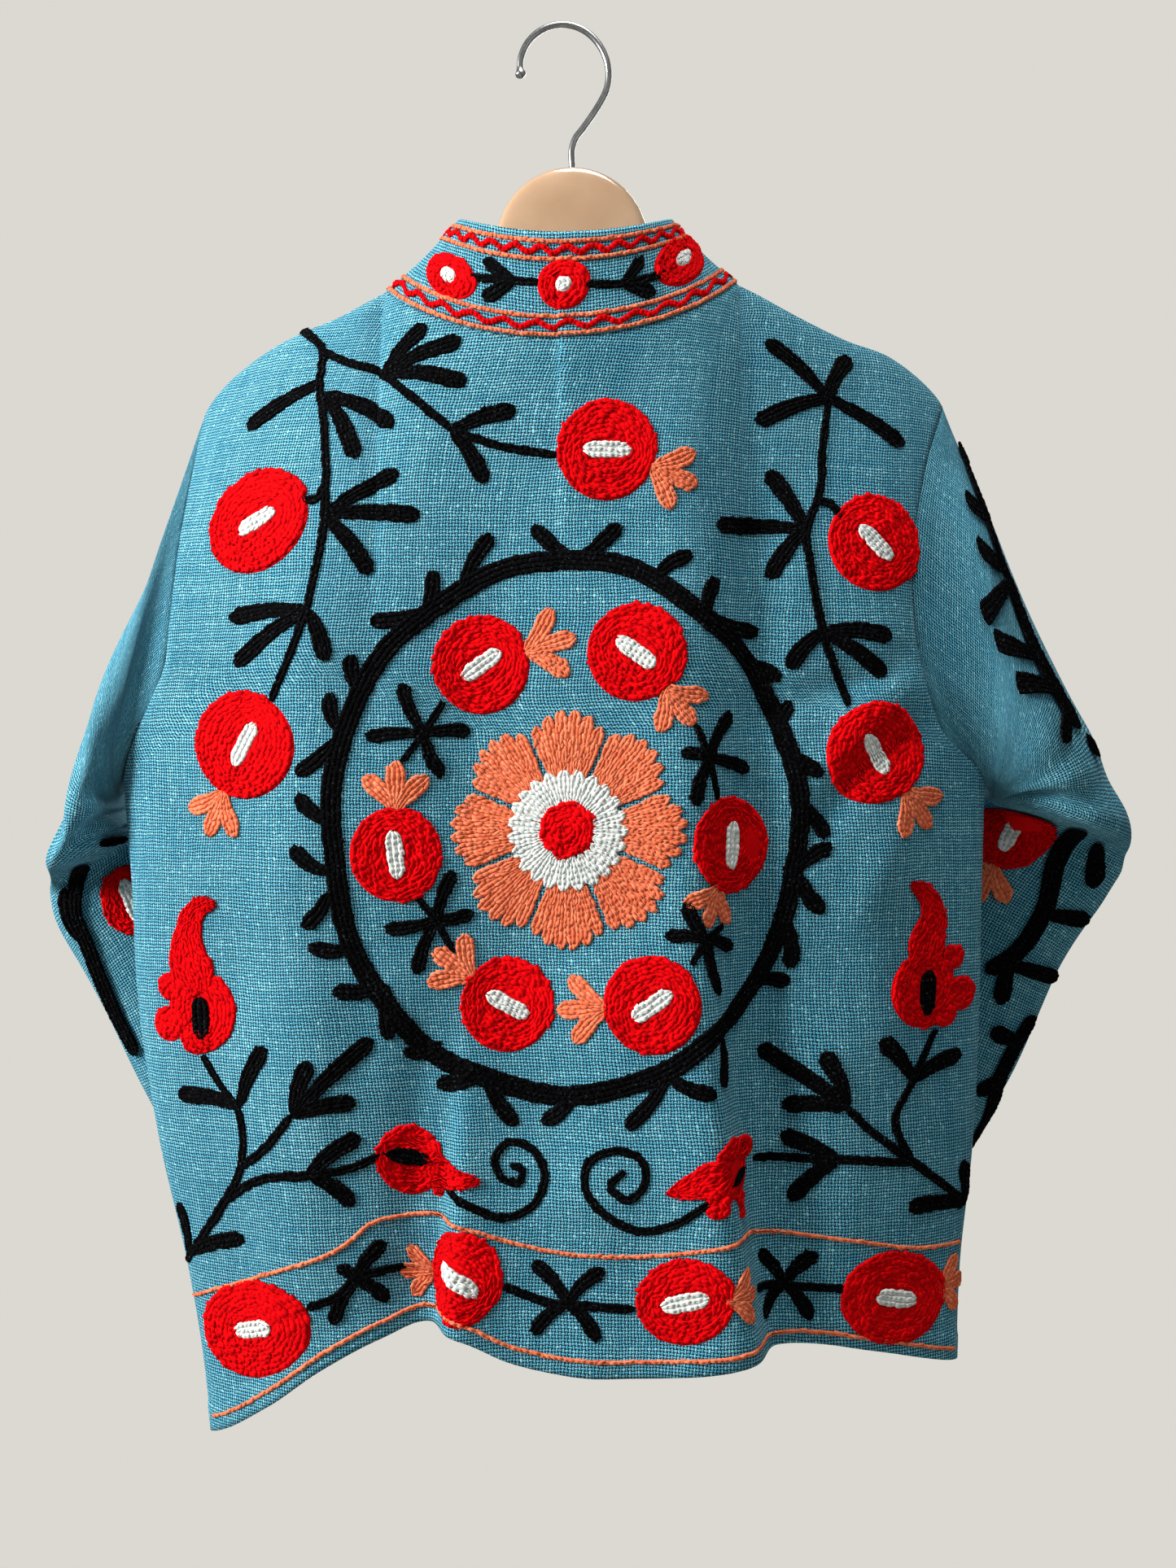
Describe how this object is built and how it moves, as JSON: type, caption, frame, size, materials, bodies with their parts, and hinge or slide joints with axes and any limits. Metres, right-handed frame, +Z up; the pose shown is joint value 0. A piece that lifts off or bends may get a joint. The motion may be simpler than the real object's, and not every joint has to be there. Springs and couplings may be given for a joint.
{
  "type": "embroidered jacket on a clothes hanger",
  "caption": "Short open jacket of coarse turquoise cotton with raised wool embroidery, hung flat on a contoured plastic hanger with a wire hook.",
  "frame": {"origin": "inside top of the hanger's hook, where a rail holds it", "axes": "+Z up, +Y out of the jacket's fronts, +X to the wearer's right"},
  "size_m": [0.695, 0.193, 0.8613],
  "materials": {
    "turquoise_cotton": "coarse slubby plain weave, matt",
    "red_wool": "thick chain stitch, soft",
    "black_wool": "thick chain stitch, soft",
    "coral_wool": "thick chain stitch, soft",
    "tan_plastic": "glossy moulded plastic",
    "steel_wire": "bright wire"
  },
  "bodies": {
    "root": {"back_panel": "turquoise_cotton", "collar": "turquoise_cotton", "collar_disc_left": "red_wool", "collar_disc_middle": "red_wool", "collar_disc_right": "red_wool", "front_left": "turquoise_cotton", "front_right": "turquoise_cotton", "hanger_body": "tan_plastic", "hanger_hook": "steel_wire", "pepper_lying_left": "red_wool", "pepper_lying_right": "red_wool", "pepper_upright_left": "red_wool", "pepper_upright_right": "red_wool", "pomegranate_chest_left": "red_wool", "pomegranate_chest_right": "red_wool", "pomegranate_hem_far_left": "red_wool", "pomegranate_hem_far_right": "red_wool", "pomegranate_hem_left": "red_wool", "pomegranate_hem_right": "red_wool", "pomegranate_inner_bottom_left": "red_wool", "pomegranate_inner_bottom_right": "red_wool", "pomegranate_inner_left": "red_wool", "pomegranate_inner_right": "red_wool", "pomegranate_inner_top_left": "red_wool", "pomegranate_inner_top_right": "red_wool", "pomegranate_neck": "red_wool", "pomegranate_shoulder_left": "red_wool", "pomegranate_shoulder_right": "red_wool", "ring": "black_wool", "rosette": "coral_wool", "sleeve_left": "turquoise_cotton", "sleeve_right": "turquoise_cotton"}
  },
  "joints": []
}
